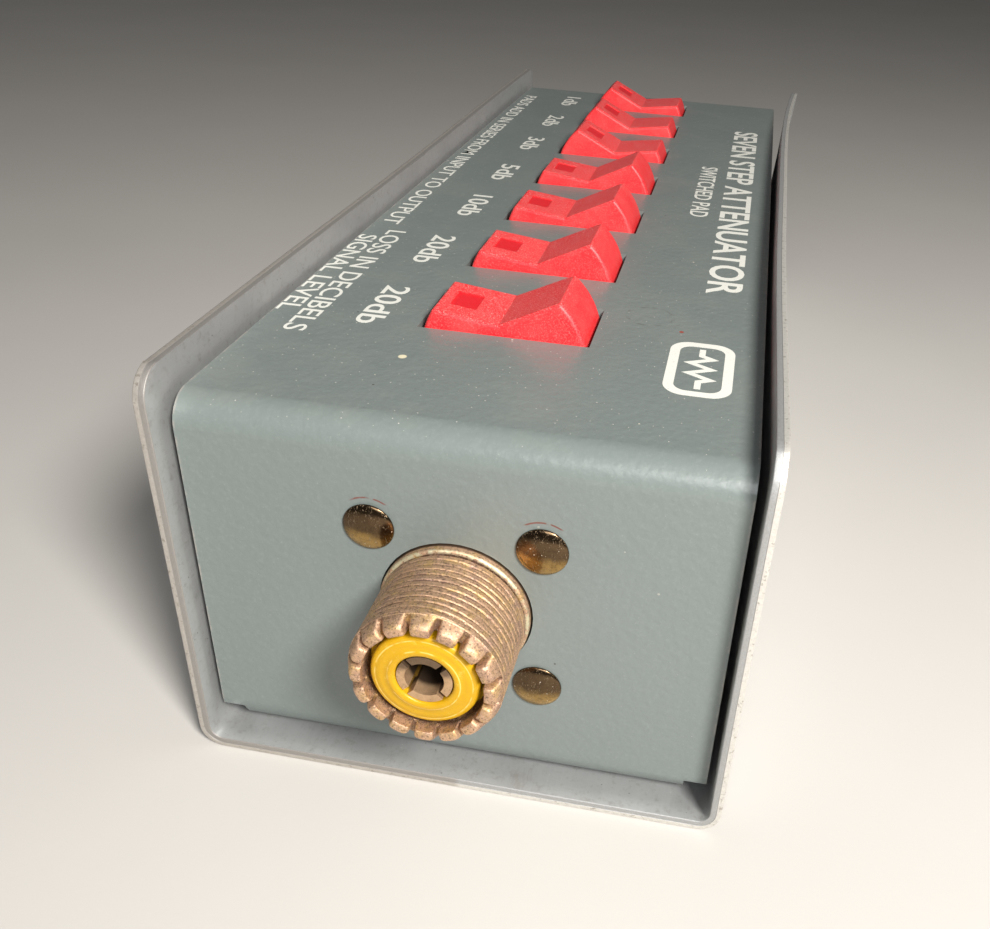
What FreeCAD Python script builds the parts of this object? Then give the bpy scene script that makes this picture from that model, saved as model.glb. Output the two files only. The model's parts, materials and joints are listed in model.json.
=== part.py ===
"""Seven-section switched attenuator box with a coaxial panel socket at each end.

Millimetres.  +Z is up, the long axis is Y, and the origin is the centre of the cover's
underside.  The input end faces -Y.  Each part of the object is written to parts/NODE.step.
"""
import FreeCAD, Part
import math
import os

V = FreeCAD.Vector
X_AXIS = V(1, 0, 0)
Y_AXIS = V(0, 1, 0)
Z_AXIS = V(0, 0, 1)

# ---- Driving dimensions -------------------------------------------------------------
# Cover: a bare sheet folded into a floor and two side walls.
cover_width = 62.6
cover_height = 49.4
cover_length = 177.8
cover_sheet = 1.3
cover_bend = 2.8            # outer radius of the two long folds
left_corner_round = 3.4     # top corners of the left wall
right_corner_clip = 2.3     # top corners of the right wall

# Chassis: a painted sheet folded into a top and two ends with inward feet.
chassis_width = 58.4
chassis_sheet = 1.2
top_recess = 3.5            # top panel below the cover's wall tops
end_recess = 2.5            # end panels inside the cover's ends
top_bend = 3.4              # outer radius between top and end panels
foot_bend = 4.5             # outer radius between end panel and foot
foot_length = 14.0
foot_notch_width = 2.6      # bend relief at each side of a foot
foot_notch_top = 4.6
fit_gap = 0.05              # between faces that rest on each other
seat_gap = 0.02             # between small parts that are set against each other
past = 1.0                  # how far a cutting shape runs past the face it cuts

# Rocker switches, in one row along Y.
sections = ["1db", "2db", "3db", "5db", "10db", "20db_inner", "20db_outer"]
switch_count = 7
switch_pitch = 21.4
switch_x = -1.05            # row centre line
first_switch_y = -56.5      # nearest the input socket
slot_length = 20.5
slot_width = 11.6
pivot_depth = 3.2           # pivot below the top panel's outer face
rocker_radius = 10.1        # end faces, round the pivot
rocker_width = 11.0         # at the pivot; the sides lean in above it
rocker_draft = 4.4          # lean of each side, degrees
rocker_tip_angle = 40.4     # tip above the horizontal, seen from the pivot
rocker_valley = 4.25        # valley above the pivot
rocker_foot_angle = 7.0     # where the end face stops, below the horizontal
rocker_tilt = 9.5           # each way from level
rocker_edge = 0.4           # rounding of the tips and the valley
rocker_side_edge = 0.55     # rounding along the two flat sides
thumb_mark = (3.2, 4.4, 0.15)
thumb_mark_x = -4.8         # centre of the mark from the pivot, on the -X half only
pin_radius = 0.8
hub_radius = 2.1
hub_clearance = 0.06
peg_size = (1.8, 3.0)
peg_end = 8.3               # below the pivot
drive_depth = 7.0           # where the peg drives the slider

# Switch housings and what is in them.
housing_size = (23.2, 14.4)
housing_depth = 10.4        # below the pivot
housing_rise = 1.8          # above the pivot
housing_ear = 4.4
ear_thickness = 1.65
ear_hole = 1.0
ear_shank = 0.95
ear_head = (1.6, 0.6)       # radius and height of an ear rivet's head
ear_tail = (1.5, 0.5)
housing_clearance = 0.4     # in the frame, over the housing's length and width
rocker_well = (21.1, 11.8, 3.9)
slider_well = (14.4, 10.0, 8.9)
slider_size = (8.4, 9.2)
slider_levels = (-8.3, -5.2)
slider_slot = (3.0, 3.8)
clip_size = (6.8, 1.4, 0.3)
lug_pitch = 4.2
pole_y = 3.7
lug_size = (1.6, 0.4)
lug_end = 15.6              # below the pivot
lug_hole_depth = 14.3
lug_hole_radius = 0.5
lug_clearance = 0.1         # in the housing, over the lug's width and thickness
pin_end_inset = 0.1         # pin ends below the housing's two sides

# Inner frame, which carries the switches and stands behind the end panels.
frame_sheet = 0.8
frame_gap = 1.0             # below the top panel
frame_width = 52.0
frame_tab_width = 28.0
frame_tab_bottom = 11.6
frame_bend = 2.6

# Panel sockets, axis along Y.
socket_z = 24.9
socket_flange = 25.4
socket_flange_sheet = 1.5
socket_flange_round = 1.0
rivet_spacing = 18.26
rivet_hole = 1.6
rivet_shank = 1.55
rivet_head = (2.75, 0.95)
rivet_tail = (2.3, 0.8)
panel_hole = 8.4
collar_radius = 8.2
collar_length = 1.0
thread_radius = 7.94
thread_relief = 0.4         # plain stretch between the thread and the teeth
tooth_radius = 7.45
tooth_depth = 1.3
tooth_count = 16
tooth_gap = 0.9
socket_reach = 12.2         # tooth tips beyond the end panel
shell_bore = 6.2
insulator_radius = 5.65
insulator_recess = 0.8      # face behind the tooth tips
insulator_hole = 2.95
insulator_hole_depth = 2.6
insulator_boss = 4.6
insulator_fit = 0.03        # radial, round the contact and in the shell
insulator_rear = 1.5        # behind the flange
insulator_step = 2.5        # narrow stretch at the mouth
contact_radius = 2.85
contact_bore = 2.0
contact_recess = 1.0        # contact mouth behind the tooth tips
contact_slot = 0.6
contact_slot_depth = 7.0
contact_bore_depth = 8.5
contact_tail = (1.3, 0.9, 4.6)
solder_cup_depth = 2.5

# Wiring and small parts.
wire_radius = 0.4
first_bend_gap = 1.5        # input lead's first bend, behind the solder cup
last_bend_gap = 0.8         # the output lead is short, so both its bends are tight
lead_drop = 6.0             # input lead's second bend, before the first lug
resistor_lead = 0.33
resistor_body = (1.15, 6.0)
lead_overrun = 0.8          # how far a lead or link runs past its lug
shunt_body_x = 10.0
shunt_rise_x = 18.4
shunt_depth = 15.0
shield_sheet = 0.5
shield_width = 55.0
shield_bottom = 3.0
shield_hole = 1.8
screw_x = 18.0
screw_inset = 8.4           # from the end panel
screw_head = 2.6
screw_shank = 1.35
screw_length = 8.0
screw_point = (0.4, 1.5)    # tip radius and length of the point
screw_slot = (0.7, 0.6)     # width and depth
screw_clearance = 0.05

# ---- Levels worked out from the sizes above ------------------------------------------
half_cover = cover_length / 2
panel_y = half_cover - end_recess
top_z = cover_height - top_recess
foot_z = cover_sheet + fit_gap
pivot_z = top_z - pivot_depth
frame_top_z = top_z - chassis_sheet - frame_gap
frame_low_z = frame_top_z - frame_sheet
frame_y = panel_y - chassis_sheet - fit_gap
flange_y = frame_y - frame_sheet - fit_gap
wire_z = pivot_z - lug_hole_depth
screw_y = panel_y - screw_inset


def block(x0, x1, y0, y1, z0, z1):
    return Part.makeBox(x1 - x0, y1 - y0, z1 - z0, V(x0, y0, z0))


def slab(x_size, y_size, z0, z1, centre=V(0, 0, 0)):
    """A block centred on X and Y, between two heights measured from the centre."""
    corner = V(-x_size / 2, -y_size / 2, z0) + centre
    return Part.makeBox(x_size, y_size, z1 - z0, corner)


def rod(radius, start, end):
    run = end - start
    return Part.makeCylinder(radius, run.Length, start, run)


def rounded(shape, radius, direction, keep):
    """Fillet the straight edges along a direction whose midpoint passes a test."""
    edges = []
    for edge in shape.Edges:
        if not isinstance(edge.Curve, Part.Line):
            continue
        along = edge.tangentAt(edge.FirstParameter).cross(direction).Length < 1e-6
        if along and keep(edge.CenterOfMass):
            edges.append(edge)
    return shape.makeFillet(radius, edges)


def fuse_all(shapes):
    return shapes[0].multiFuse(shapes[1:]).removeSplitter()


def bent_wire(radius, points):
    """Straight wire runs with a ball at each bend."""
    pieces = [rod(radius, a, b) for a, b in zip(points, points[1:])]
    pieces += [Part.makeSphere(radius, point) for point in points[1:-1]]
    return fuse_all(pieces)


def export(shape, name):
    shape.exportStep("parts/" + name + ".step")


def switch_y(index):
    return first_switch_y + switch_pitch * index


def rest_tilt(index):
    """The four switches nearest the input stand with their +X end up, the others down."""
    return -rocker_tilt if index < 4 else rocker_tilt


def socket_holes(y_from, y_to, centre_radius):
    """One barrel hole and four rivet holes, cut through an end panel."""
    holes = [rod(centre_radius, V(0, y_from, socket_z), V(0, y_to, socket_z))]
    for x, z in rivet_places():
        holes.append(rod(rivet_hole, V(x, y_from, z), V(x, y_to, z)))
    return holes


def rivet_places():
    half = rivet_spacing / 2
    return [(x, socket_z + z) for x in (-half, half) for z in (-half, half)]


def make_cover():
    outer = slab(cover_width, cover_length, 0, cover_height)
    outer = rounded(outer, cover_bend, Y_AXIS, lambda c: c.z < 1)
    inner_width = cover_width - 2 * cover_sheet
    inner = slab(inner_width, cover_length + 2 * past, cover_sheet, cover_height + past)
    inner = rounded(inner, cover_bend - cover_sheet, Y_AXIS, lambda c: c.z < cover_sheet + 1)
    cover = outer.cut(inner)
    cover = rounded(cover, left_corner_round, X_AXIS,
                    lambda c: c.x < 0 and c.z > cover_height - 1)
    clips = []
    for edge in cover.Edges:
        middle = edge.CenterOfMass
        at_end = abs(abs(middle.y) - half_cover) < 0.01
        if middle.x > 0 and middle.z > cover_height - 0.01 and at_end:
            clips.append(edge)
    cover = cover.makeChamfer(right_corner_clip, clips)
    for x, y in screw_places():
        cover = cover.cut(screw_envelope(x, y))
    return cover


def screw_places():
    return [(x, y) for y in (-screw_y, screw_y) for x in (-screw_x, screw_x)]


def screw_envelope(x, y):
    """The countersunk hole that a screw's head and shank sit in."""
    wide = screw_head + screw_clearance
    narrow = screw_shank + screw_clearance
    cone = Part.makeCone(wide, narrow, cover_sheet, V(x, y, 0))
    return cone.fuse(rod(narrow, V(x, y, 0), V(x, y, foot_z + 2 * chassis_sheet)))


def make_cover_screw(x, y):
    tip_radius, point_length = screw_point
    slot_width_across, slot_depth = screw_slot
    neck = V(x, y, screw_length - point_length)
    head = Part.makeCone(screw_head, screw_shank, cover_sheet - screw_clearance, V(x, y, 0))
    shank = rod(screw_shank, V(x, y, 0), neck)
    point = Part.makeCone(screw_shank, tip_radius, point_length, neck)
    slot = slab(2 * screw_head, slot_width_across, -past, slot_depth, V(x, y, 0))
    return fuse_all([head, shank, point]).cut(slot)


def make_chassis():
    outer = slab(chassis_width, 2 * panel_y, foot_z, top_z)
    outer = rounded(outer, top_bend, X_AXIS, lambda c: c.z > foot_z + 1)
    outer = rounded(outer, foot_bend, X_AXIS, lambda c: c.z < foot_z + 1)
    inside_y = panel_y - chassis_sheet
    wide = chassis_width + 2 * past
    inner = slab(wide, 2 * inside_y, foot_z + chassis_sheet, top_z - chassis_sheet)
    inner = rounded(inner, top_bend - chassis_sheet, X_AXIS, lambda c: c.z > top_z / 2)
    inner = rounded(inner, foot_bend - chassis_sheet, X_AXIS, lambda c: c.z < top_z / 2)
    cuts = [inner]
    between_feet = panel_y - foot_length
    cuts.append(slab(wide, 2 * between_feet, 0, foot_z + 2 * chassis_sheet))
    half_width = chassis_width / 2
    for side in (-1, 1):
        notch_x = sorted((side * (half_width - foot_notch_width), side * (half_width + past)))
        cuts.append(block(notch_x[0], notch_x[1], -half_cover, half_cover, 0, foot_notch_top))
    for index in range(switch_count):
        place = V(switch_x, switch_y(index), 0)
        cuts.append(slab(slot_length, slot_width, top_z - 2 * chassis_sheet, top_z + past, place))
    for end in (-1, 1):
        inside = end * (panel_y - 2 * chassis_sheet)
        cuts += socket_holes(inside, end * (panel_y + past), panel_hole)
    cuts += [screw_envelope(x, y) for x, y in screw_places()]
    return outer.cut(cuts)


def make_frame():
    outer = slab(frame_width, 2 * frame_y, frame_tab_bottom, frame_top_z)
    outer = rounded(outer, frame_bend, X_AXIS, lambda c: c.z > frame_top_z - 1)
    inside_y = frame_y - frame_sheet
    inner = slab(frame_width + 2 * past, 2 * inside_y, 0, frame_low_z)
    inner = rounded(inner, frame_bend - frame_sheet, X_AXIS, lambda c: c.z > frame_low_z - 1)
    cuts = [inner]
    for side in (-1, 1):
        spare = sorted((side * frame_tab_width / 2, side * frame_width))
        cuts.append(block(spare[0], spare[1], -half_cover, half_cover, 0, frame_top_z - frame_bend))
    for index in range(switch_count):
        place = V(switch_x, switch_y(index), 0)
        long, wide = (size + housing_clearance for size in housing_size)
        cuts.append(slab(long, wide, frame_low_z - past, frame_top_z + past, place))
        for x in ear_rivet_places():
            below = V(x, switch_y(index), frame_low_z - past)
            above = V(x, switch_y(index), frame_top_z + past)
            cuts.append(rod(ear_hole, below, above))
    for end in (-1, 1):
        inside = end * (inside_y - past)
        cuts += socket_holes(inside, end * (frame_y + past), panel_hole)
    return outer.cut(cuts)


def ear_rivet_places():
    reach = housing_size[0] / 2 + housing_ear / 2
    return [switch_x - reach, switch_x + reach]


def make_ear_rivet(x, y):
    """A small rivet that holds a switch ear under the frame."""
    ear_low = frame_low_z - fit_gap - ear_thickness
    head_radius, head_height = ear_head
    tail_radius, tail_height = ear_tail
    head_top = V(x, y, frame_top_z + head_height)
    tail_end = V(x, y, ear_low - tail_height)
    head = rod(head_radius, V(x, y, frame_top_z + seat_gap), head_top)
    shank = rod(ear_shank, tail_end, head_top)
    tail = rod(tail_radius, tail_end, V(x, y, ear_low - seat_gap))
    return fuse_all([head, shank, tail])


def make_housing(index):
    centre = V(switch_x, switch_y(index), pivot_z)
    body = slab(housing_size[0], housing_size[1], -housing_depth, housing_rise, centre)
    ear_top = frame_low_z - fit_gap - pivot_z
    ears = slab(housing_size[0] + 2 * housing_ear, housing_size[1],
                ear_top - ear_thickness, ear_top, centre)
    body = body.fuse(ears)
    cuts = [
        slab(rocker_well[0], rocker_well[1], -rocker_well[2], housing_rise + past, centre),
        slab(slider_well[0], slider_well[1], -slider_well[2], 0, centre),
        rod(pin_radius + seat_gap, centre - Y_AXIS * housing_size[1], centre + Y_AXIS * housing_size[1]),
    ]
    for x, y in lug_places(index):
        slot_x, slot_y = (size + lug_clearance for size in lug_size)
        cuts.append(slab(slot_x, slot_y, -housing_depth - past, 0, V(x, y, pivot_z)))
    for x in ear_rivet_places():
        low = V(x, switch_y(index), pivot_z + ear_top - ear_thickness - past)
        high = V(x, switch_y(index), pivot_z + ear_top + past)
        cuts.append(rod(ear_hole, low, high))
    return body.cut(cuts)


def lug_places(index):
    """Three lugs for each of the two poles."""
    y = switch_y(index)
    columns = (-lug_pitch, 0, lug_pitch)
    return [(switch_x + x, y + pole) for pole in (-pole_y, pole_y) for x in columns]


def make_lug(x, y):
    lug = slab(lug_size[0], lug_size[1], -lug_end, -slider_well[2], V(x, y, pivot_z))
    end_round = 0.45 * lug_size[0]
    lug = rounded(lug, end_round, Y_AXIS, lambda c: c.z < pivot_z - lug_hole_depth)
    hole = rod(lug_hole_radius, V(x, y - past, wire_z), V(x, y + past, wire_z))
    return lug.cut(hole)


def polar(radius, degrees):
    angle = math.radians(degrees)
    return V(radius * math.cos(angle), 0, radius * math.sin(angle))


def make_rocker(index):
    """Level rocker about the origin, then tilted and moved to its place."""
    tip_right = polar(rocker_radius, rocker_tip_angle)
    tip_left = polar(rocker_radius, 180 - rocker_tip_angle)
    foot_right = polar(rocker_radius, -rocker_foot_angle)
    foot_left = polar(rocker_radius, 180 + rocker_foot_angle)
    side_right = polar(rocker_radius, rocker_tip_angle / 2)
    side_left = polar(rocker_radius, 180 - rocker_tip_angle / 2)
    valley = V(0, 0, rocker_valley)
    outline = Part.Wire([
        Part.LineSegment(foot_left, foot_right).toShape(),
        Part.Arc(foot_right, side_right, tip_right).toShape(),
        Part.LineSegment(tip_right, valley).toShape(),
        Part.LineSegment(valley, tip_left).toShape(),
        Part.Arc(tip_left, side_left, foot_left).toShape(),
    ])
    rocker = Part.Face(outline).extrude(Y_AXIS * rocker_width)
    rocker.translate(Y_AXIS * (-rocker_width / 2))
    rocker = rounded(rocker, rocker_edge, Y_AXIS, lambda c: c.z > 1)
    rocker = round_rocker_sides(rocker.common(leaning_sides()))
    hub = rod(hub_radius, Y_AXIS * (-rocker_width / 2), Y_AXIS * (rocker_width / 2))
    hub = hub.common(leaning_sides())
    peg = slab(peg_size[0], peg_size[1], -peg_end, 0)
    rocker = fuse_all([rocker, hub, peg])
    pin_bore = rod(pin_radius + hub_clearance, Y_AXIS * -rocker_width, Y_AXIS * rocker_width)
    rocker = rocker.cut([pin_bore, thumb_mark_cut()])
    rocker.rotate(V(0, 0, 0), Y_AXIS, rest_tilt(index))
    rocker.translate(V(switch_x, switch_y(index), pivot_z))
    return rocker


def leaning_sides():
    """A bar along X whose two sides lean in above the pivot."""
    half = rocker_width / 2
    top = rocker_radius
    lean = top * math.tan(math.radians(rocker_draft))
    outline = Part.makePolygon([
        V(-2 * top, -half, -top),
        V(-2 * top, half, -top),
        V(-2 * top, half, 0),
        V(-2 * top, half - lean, top),
        V(-2 * top, lean - half, top),
        V(-2 * top, -half, 0),
        V(-2 * top, -half, -top),
    ])
    return Part.Face(outline).extrude(X_AXIS * (4 * top))


def round_rocker_sides(rocker):
    """Round the edges between the V-shaped top, the end faces and the leaning sides."""
    edges = []
    for edge in rocker.Edges:
        middle = edge.CenterOfMass
        along_side = abs(edge.BoundBox.YLength) < 1.0
        off_middle = abs(middle.y) > rocker_width / 4
        above_pivot = edge.BoundBox.ZMin > -0.1 and middle.z > 0.2
        if along_side and off_middle and above_pivot:
            edges.append(edge)
    return rocker.makeFillet(rocker_side_edge, edges)


def thumb_mark_cut():
    """A shallow rectangular dimple in one sloping half of the top."""
    tip = polar(rocker_radius, rocker_tip_angle)
    slope = math.degrees(math.atan2(tip.z - rocker_valley, tip.x))
    height = rocker_valley + (tip.z - rocker_valley) * abs(thumb_mark_x) / tip.x
    length, width, depth = thumb_mark
    mark = slab(length, width, -depth, past)
    mark.rotate(V(0, 0, 0), Y_AXIS, slope)
    mark.translate(V(thumb_mark_x, 0, height))
    return mark


def make_pin(index):
    y = switch_y(index)
    reach = housing_size[1] / 2 - pin_end_inset
    return rod(pin_radius, V(switch_x, y - reach, pivot_z), V(switch_x, y + reach, pivot_z))


def slider_place(index):
    """The slider's centre at rest: the peg swings it opposite to the raised end."""
    shift = -drive_depth * math.sin(math.radians(rest_tilt(index)))
    return V(switch_x + shift, switch_y(index), pivot_z)


def make_slider(index):
    place = slider_place(index)
    slider = slab(slider_size[0], slider_size[1], slider_levels[0], slider_levels[1], place)
    low, high = slider_levels
    slot = slab(slider_slot[0], slider_slot[1], low - past, high + past, place)
    return slider.cut(slot)


def make_clips(index):
    """Two contact clips under the slider, one for each pole."""
    length, width, sheet = clip_size
    clips = []
    for pole in (-pole_y, pole_y):
        place = slider_place(index) + V(0, pole, slider_levels[0] - seat_gap)
        clips.append(slab(length, width, -sheet, 0, place))
    return Part.makeCompound(clips)


def make_resistors(index):
    """Series resistor between the two poles, and one shunt from each pole to the frame."""
    x = switch_x + lug_pitch
    y = switch_y(index)
    radius, length = resistor_body
    reach = pole_y + lead_overrun
    lead = rod(resistor_lead, V(x, y - reach, wire_z), V(x, y + reach, wire_z))
    body = rod(radius, V(x, y - length / 2, wire_z), V(x, y + length / 2, wire_z))
    resistors = [fuse_all([lead, body])]
    shunt_z = pivot_z - shunt_depth
    for side in (-1, 1):
        lead_y = y + side * (pole_y + lug_size[1] / 2 + resistor_lead + fit_gap)
        centre = V(switch_x + shunt_body_x, lead_y, shunt_z)
        elbow = V(switch_x + shunt_rise_x, lead_y, shunt_z)
        lead = bent_wire(resistor_lead, [
            V(x - lead_overrun, lead_y, shunt_z),
            elbow,
            V(elbow.x, lead_y, frame_low_z - fit_gap),
        ])
        body = rod(radius, centre - X_AXIS * (length / 2), centre + X_AXIS * (length / 2))
        resistors.append(fuse_all([lead, body]))
    return Part.makeCompound(resistors)


def make_bypass(index):
    x = switch_x - lug_pitch
    y = switch_y(index)
    reach = pole_y + lead_overrun
    return rod(wire_radius, V(x, y - reach, wire_z), V(x, y + reach, wire_z))


def make_signal_wires():
    """Links from each section to the next, and a lead from each socket."""
    wires = []
    for index in range(switch_count - 1):
        start = V(switch_x, switch_y(index) + pole_y - lead_overrun, wire_z)
        end = V(switch_x, switch_y(index + 1) - pole_y + lead_overrun, wire_z)
        wires.append(rod(wire_radius, start, end))
    first_y = switch_y(0) - pole_y
    last_y = switch_y(switch_count - 1) + pole_y
    cup_end = contact_rear_y() + solder_cup_depth / 2
    wires.append(bent_wire(wire_radius, [
        V(0, -cup_end, socket_z),
        V(0, first_bend_gap - contact_rear_y(), socket_z),
        V(switch_x, first_y - lead_drop, wire_z),
        V(switch_x, first_y + lead_overrun, wire_z),
    ]))
    wires.append(bent_wire(wire_radius, [
        V(0, cup_end, socket_z),
        V(0, contact_rear_y() - last_bend_gap, socket_z),
        V(switch_x, last_y + last_bend_gap, wire_z),
        V(switch_x, last_y - lead_overrun, wire_z),
    ]))
    return Part.makeCompound(wires)


def make_shield(index):
    """A partition half-way between two switches, with a hole for the link wire."""
    y = switch_y(index) + switch_pitch / 2
    half = shield_sheet / 2
    plate = block(-shield_width / 2, shield_width / 2, y - half, y + half,
                  shield_bottom, frame_low_z - fit_gap)
    return plate.cut(rod(shield_hole, V(switch_x, y - past, wire_z), V(switch_x, y + past, wire_z)))


def contact_rear_y():
    return flange_y - socket_flange_sheet - insulator_boss


def along(distance):
    """A point on the socket's axis, measured outward from the row's middle."""
    return V(0, distance, socket_z)


def tooth_gap_cuts(tip_y):
    cuts = []
    for number in range(tooth_count):
        gap = block(shell_bore - past, thread_radius + past, tip_y - tooth_depth, tip_y + past,
                    -tooth_gap / 2, tooth_gap / 2)
        gap.rotate(V(0, 0, 0), Y_AXIS, (number + 0.5) * 360 / tooth_count)
        gap.translate(V(0, 0, socket_z))
        cuts.append(gap)
    return cuts


def make_socket_shell():
    """Threaded shell and square flange, at the +Y end."""
    half = socket_flange / 2
    flange_back = flange_y - socket_flange_sheet
    tip_y = panel_y + socket_reach
    flange = block(-half, half, flange_back, flange_y, socket_z - half, socket_z + half)
    flange = rounded(flange, socket_flange_round, Y_AXIS, lambda c: True)
    thread_end = tip_y - tooth_depth - thread_relief
    pieces = [
        flange,
        rod(collar_radius, along(flange_back), along(panel_y + collar_length)),
        rod(thread_radius, along(flange_back), along(thread_end)),
        rod(tooth_radius, along(flange_back), along(tip_y)),
    ]
    cuts = socket_holes(flange_back - past, flange_y + past, shell_bore)
    cuts.append(rod(shell_bore, along(flange_back - past), along(tip_y + past)))
    cuts += tooth_gap_cuts(tip_y)
    return fuse_all(pieces).cut(cuts)


def make_insulator():
    tip_y = panel_y + socket_reach
    face_y = tip_y - insulator_recess
    flange_back = flange_y - socket_flange_sheet
    pieces = [
        rod(insulator_radius, along(flange_back - insulator_rear), along(face_y)),
        rod(shell_bore - insulator_fit, along(flange_back), along(face_y - insulator_step)),
    ]
    cuts = [
        rod(contact_radius + insulator_fit, along(0), along(tip_y)),
        rod(insulator_hole, along(face_y - insulator_hole_depth), along(tip_y)),
    ]
    return fuse_all(pieces).cut(cuts)


def make_contact():
    """Slit tube that takes the plug's pin, with a solder cup behind."""
    mouth_y = panel_y + socket_reach - contact_recess
    tail_radius, cup_radius, tail_length = contact_tail
    rear_y = contact_rear_y()
    pieces = [
        rod(contact_radius, along(rear_y + tail_length / 2), along(mouth_y)),
        rod(tail_radius, along(rear_y), along(mouth_y - contact_bore_depth)),
    ]
    cuts = [
        rod(contact_bore, along(mouth_y - contact_bore_depth), along(mouth_y + past)),
        rod(cup_radius, along(rear_y - past), along(rear_y + solder_cup_depth)),
    ]
    half = contact_slot / 2
    for turn in (45, 135):
        reach = contact_radius + past
        slit = block(-reach, reach, mouth_y - contact_slot_depth, mouth_y + past, -half, half)
        slit.rotate(V(0, 0, 0), Y_AXIS, turn)
        slit.translate(V(0, 0, socket_z))
        cuts.append(slit)
    return fuse_all(pieces).cut(cuts)


def make_socket_rivet(x, z):
    """Domed head outside, shank through panel, frame and flange, set tail inside."""
    radius, height = rivet_head
    tail_radius, tail_height = rivet_tail
    ball = (radius * radius + height * height) / (2 * height)
    seat_y = panel_y + seat_gap
    dome = Part.makeSphere(ball, V(x, seat_y + height - ball, z))
    head = dome.common(rod(radius, V(x, seat_y, z), V(x, seat_y + height + past, z)))
    back_y = flange_y - socket_flange_sheet - seat_gap
    shank = rod(rivet_shank, V(x, back_y - tail_height / 2, z), V(x, seat_y + height / 2, z))
    tail = rod(tail_radius, V(x, back_y - tail_height, z), V(x, back_y, z))
    return fuse_all([head, shank, tail])


def facing_input(shape):
    """The same part turned half round Z, for the -Y end."""
    turned = shape.copy()
    turned.rotate(V(0, 0, 0), Z_AXIS, 180)
    return turned


def main():
    os.makedirs("parts", exist_ok=True)
    export(make_cover(), "bottom_cover")
    export(make_chassis(), "chassis")
    export(make_frame(), "switch_frame")
    screws = [make_cover_screw(x, y) for x, y in screw_places()]
    export(Part.makeCompound(screws), "cover_screws")

    # The first section in the list is the one furthest from the input.
    for index in range(switch_count):
        name = sections[switch_count - 1 - index]
        export(make_rocker(index), "rocker_" + name)
        export(make_housing(index), "switch_housing_" + name)
        export(make_slider(index), "slider_" + name)
        export(make_clips(index), "contact_clips_" + name)
        export(make_resistors(index), "pad_resistors_" + name)
    indexes = range(switch_count)
    export(Part.makeCompound([make_pin(i) for i in indexes]), "rocker_pins")
    lugs = [make_lug(x, y) for i in indexes for x, y in lug_places(i)]
    export(Part.makeCompound(lugs), "switch_lugs")
    ear_rivets = [make_ear_rivet(x, switch_y(i)) for i in indexes for x in ear_rivet_places()]
    export(Part.makeCompound(ear_rivets), "switch_rivets")
    export(Part.makeCompound([make_bypass(i) for i in indexes]), "bypass_wires")
    export(make_signal_wires(), "signal_wires")
    for index in range(switch_count - 1):
        export(make_shield(index), "shield_" + str(index + 1))

    shell = make_socket_shell()
    insulator = make_insulator()
    contact = make_contact()
    rivets = Part.makeCompound([make_socket_rivet(x, z) for x, z in rivet_places()])
    for name, shape in (("shell", shell), ("insulator", insulator),
                        ("contact", contact), ("rivets", rivets)):
        export(shape, "output_socket_" + name)
        export(facing_input(shape), "input_socket_" + name)


main()
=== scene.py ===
import json
import math
import random

import bmesh
import bpy
from mathutils import Matrix, Vector, noise


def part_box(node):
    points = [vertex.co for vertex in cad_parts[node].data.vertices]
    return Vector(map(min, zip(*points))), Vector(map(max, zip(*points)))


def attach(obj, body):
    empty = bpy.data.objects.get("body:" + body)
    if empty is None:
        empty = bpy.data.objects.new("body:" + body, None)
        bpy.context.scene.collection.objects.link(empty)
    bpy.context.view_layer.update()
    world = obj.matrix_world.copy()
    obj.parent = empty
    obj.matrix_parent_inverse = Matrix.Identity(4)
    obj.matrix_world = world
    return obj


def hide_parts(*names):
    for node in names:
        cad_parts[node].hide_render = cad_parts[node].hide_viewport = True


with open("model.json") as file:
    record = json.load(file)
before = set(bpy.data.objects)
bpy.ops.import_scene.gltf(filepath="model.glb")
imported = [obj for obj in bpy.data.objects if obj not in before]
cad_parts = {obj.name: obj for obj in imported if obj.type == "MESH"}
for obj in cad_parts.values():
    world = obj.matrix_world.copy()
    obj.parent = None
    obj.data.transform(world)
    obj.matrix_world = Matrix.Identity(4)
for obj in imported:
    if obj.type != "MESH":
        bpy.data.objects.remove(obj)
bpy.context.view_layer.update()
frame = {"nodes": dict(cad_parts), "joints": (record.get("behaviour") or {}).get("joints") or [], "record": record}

MM = 0.001
TAU = 2 * math.pi
SECTIONS = ["20db_outer", "20db_inner", "10db", "5db", "3db", "2db", "1db"]
RAISED_AT_PLUS_X = 4          # the first four rockers rest with their +X end up

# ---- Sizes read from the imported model, in millimetres ---------------------------------


def box_mm(node):
    low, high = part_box(node)
    return low / MM, high / MM


COVER_HIGH = box_mm("bottom_cover")[1]
CHASSIS_HIGH = box_mm("chassis")[1]
SHELL_LOW, SHELL_HIGH = box_mm("output_socket_shell")
TOP_Z = CHASSIS_HIGH.z
PANEL_Y = CHASSIS_HIGH.y
SOCKET_Z = (SHELL_LOW.z + SHELL_HIGH.z) / 2
TIP = SHELL_HIGH.y - PANEL_Y  # tooth tips beyond the end panel

# Sheet cover
SHEET = 1.3
COVER_BEND = 2.8
LEFT_ROUND = 3.4
RIGHT_CLIP = 2.3
CUT_ROUND = 0.13              # rounding of the sheared edges
FLARE = 3.1                   # how far the right wall leans out at its far top corner
FLARE_FROM = 5.0              # where along Y the lean starts

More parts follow.
